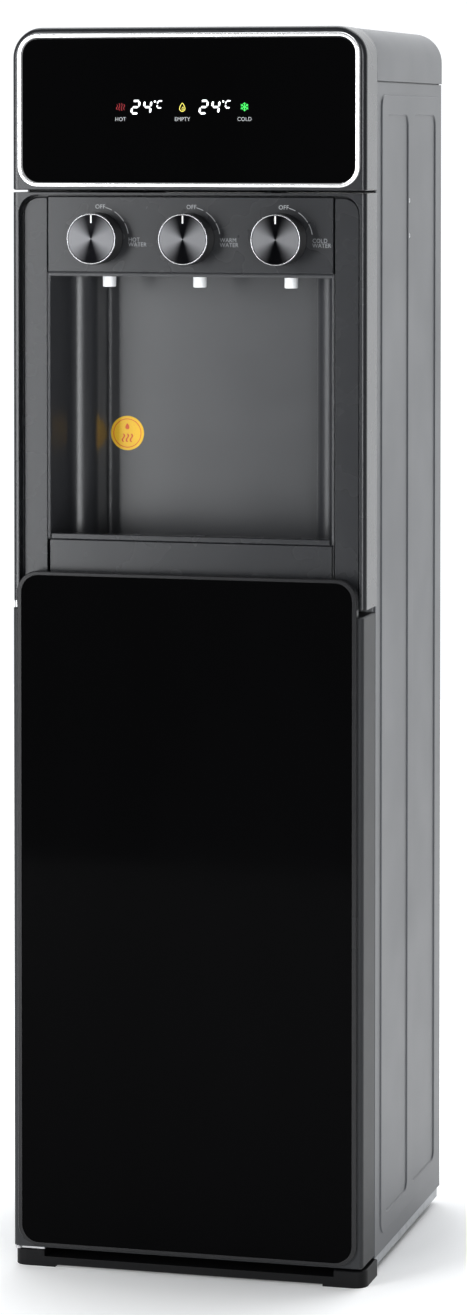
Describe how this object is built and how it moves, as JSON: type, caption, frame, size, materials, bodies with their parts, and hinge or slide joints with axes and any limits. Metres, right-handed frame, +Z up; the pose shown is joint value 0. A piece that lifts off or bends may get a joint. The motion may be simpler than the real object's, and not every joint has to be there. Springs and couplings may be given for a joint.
{
  "type": "water dispenser",
  "caption": "Floor-standing bottom-loading water dispenser with three rotary taps, recessed dispensing niche, drip tray, display head and a hinged glass-faced door over the bottle bay.",
  "frame": {"origin": "centre of the footprint on the floor, under the middle of the overall box", "axes": "+Z up, +X to the right as seen from the front, the front faces -Y"},
  "size_m": [0.31, 0.316, 1.062],
  "materials": {
    "front_plastic": "charcoal satin moulded plastic",
    "base_plastic": "black satin moulded plastic",
    "case_paint": "dark grey satin paint",
    "galvanised": "bare zinc-coated sheet",
    "black_glass": "gloss black, backed",
    "chrome_trim": "polished",
    "door_trim": "dark satin rim",
    "foot_rubber": "matte",
    "screw_steel": "zinc plated",
    "circuit_board": "green lacquer",
    "tap_plastic": "black nylon",
    "spindle_plastic": "natural acetal",
    "knob_black": "black satin",
    "knob_metal": "dark spun face",
    "white_plastic": "white food-grade plastic",
    "tank_steel": "stainless",
    "insulation": "rigid foam",
    "sink_aluminium": "extruded",
    "hose_silicone": "translucent silicone",
    "grille_plastic": "charcoal satin moulded plastic",
    "rocker_red": "red",
    "rocker_green": "green"
  },
  "bodies": {
    "cabinet": {"head_front_frame": "front_plastic", "upper_front_frame": "front_plastic", "dispense_surround": "front_plastic", "control_panel": "front_plastic", "niche_liner": "front_plastic", "niche_lower_panel": "front_plastic", "base_skirt": "base_plastic", "left_side_panel": "case_paint", "right_side_panel": "case_paint", "top_cover": "case_paint", "rear_panel": "galvanised", "base_pan": "galvanised", "mid_deck": "galvanised", "display_glass": "black_glass", "display_trim_ring": "chrome_trim", "rear_feet": "foot_rubber", "case_screws": "screw_steel", "lower_hinge_bracket": "screw_steel", "upper_hinge_bracket": "screw_steel", "display_board": "circuit_board", "main_board": "circuit_board", "hot_tap_body": "tap_plastic", "warm_tap_body": "tap_plastic", "cold_tap_body": "tap_plastic", "pump": "tap_plastic", "switch_housing": "tap_plastic", "cord_gland": "tap_plastic", "fan_frame": "tap_plastic", "magnet_catch": "tap_plastic", "tap_nozzles": "white_plastic", "suction_cap": "white_plastic", "peltier_module": "white_plastic", "thermostat": "white_plastic", "hot_tank": "tank_steel", "cold_tank": "tank_steel", "hot_tank_jacket": "insulation", "cold_tank_foam": "insulation", "heat_sink": "sink_aluminium", "supply_hoses": "hose_silicone", "suction_hose": "hose_silicone", "suction_pipe": "hose_silicone"},
    "door": {"door_casing": "front_plastic", "door_trim": "door_trim", "door_glass": "black_glass", "door_strike_plate": "screw_steel"},
    "hot_tap_knob": {"hot_knob": "knob_black", "hot_knob_disc": "knob_metal", "hot_spindle": "spindle_plastic"},
    "warm_tap_knob": {"warm_knob": "knob_black", "warm_knob_disc": "knob_metal", "warm_spindle": "spindle_plastic"},
    "cold_tap_knob": {"cold_knob": "knob_black", "cold_knob_disc": "knob_metal", "cold_spindle": "spindle_plastic"},
    "drip_tray": {"drip_tray": "front_plastic"},
    "drip_grille": {"drip_grille": "grille_plastic"},
    "cooling_fan": {"fan_rotor": "tap_plastic"},
    "hot_switch": {"hot_switch_rocker": "rocker_red"},
    "cold_switch": {"cold_switch_rocker": "rocker_green"}
  },
  "joints": [
    {"name": "door_hinge", "type": "hinge", "parent": "cabinet", "child": "door", "pos_m": [-0.151, -0.142, 0.29], "axis": [0, 0, -1], "range_deg": [0, 95]},
    {"name": "hot_tap_turn", "type": "hinge", "parent": "cabinet", "child": "hot_tap_knob", "pos_m": [-0.0804, -0.14, 0.883], "axis": [0, 1, 0], "range_deg": [0, 90]},
    {"name": "warm_tap_turn", "type": "hinge", "parent": "cabinet", "child": "warm_tap_knob", "pos_m": [0, -0.14, 0.883], "axis": [0, 1, 0], "range_deg": [0, 90]},
    {"name": "cold_tap_turn", "type": "hinge", "parent": "cabinet", "child": "cold_tap_knob", "pos_m": [0.0804, -0.14, 0.883], "axis": [0, 1, 0], "range_deg": [0, 90]},
    {"name": "drip_tray_lift", "type": "slide", "parent": "cabinet", "child": "drip_tray", "axis": [0, 0, 1], "range_m": [0, 0.15]},
    {"name": "drip_grille_lift", "type": "slide", "parent": "drip_tray", "child": "drip_grille", "axis": [0, 0, 1], "range_m": [0, 0.05]},
    {"name": "fan_spin", "type": "hinge", "parent": "cabinet", "child": "cooling_fan", "pos_m": [0.08, 0.12, 0.668], "axis": [0, 1, 0], "continuous": true},
    {"name": "hot_switch_rock", "type": "hinge", "parent": "cabinet", "child": "hot_switch", "pos_m": [-0.1255, 0.147, 0.73], "axis": [-1, 0, 0], "range_deg": [0, 14]},
    {"name": "cold_switch_rock", "type": "hinge", "parent": "cabinet", "child": "cold_switch", "pos_m": [-0.1045, 0.147, 0.73], "axis": [-1, 0, 0], "range_deg": [0, 14]}
  ]
}
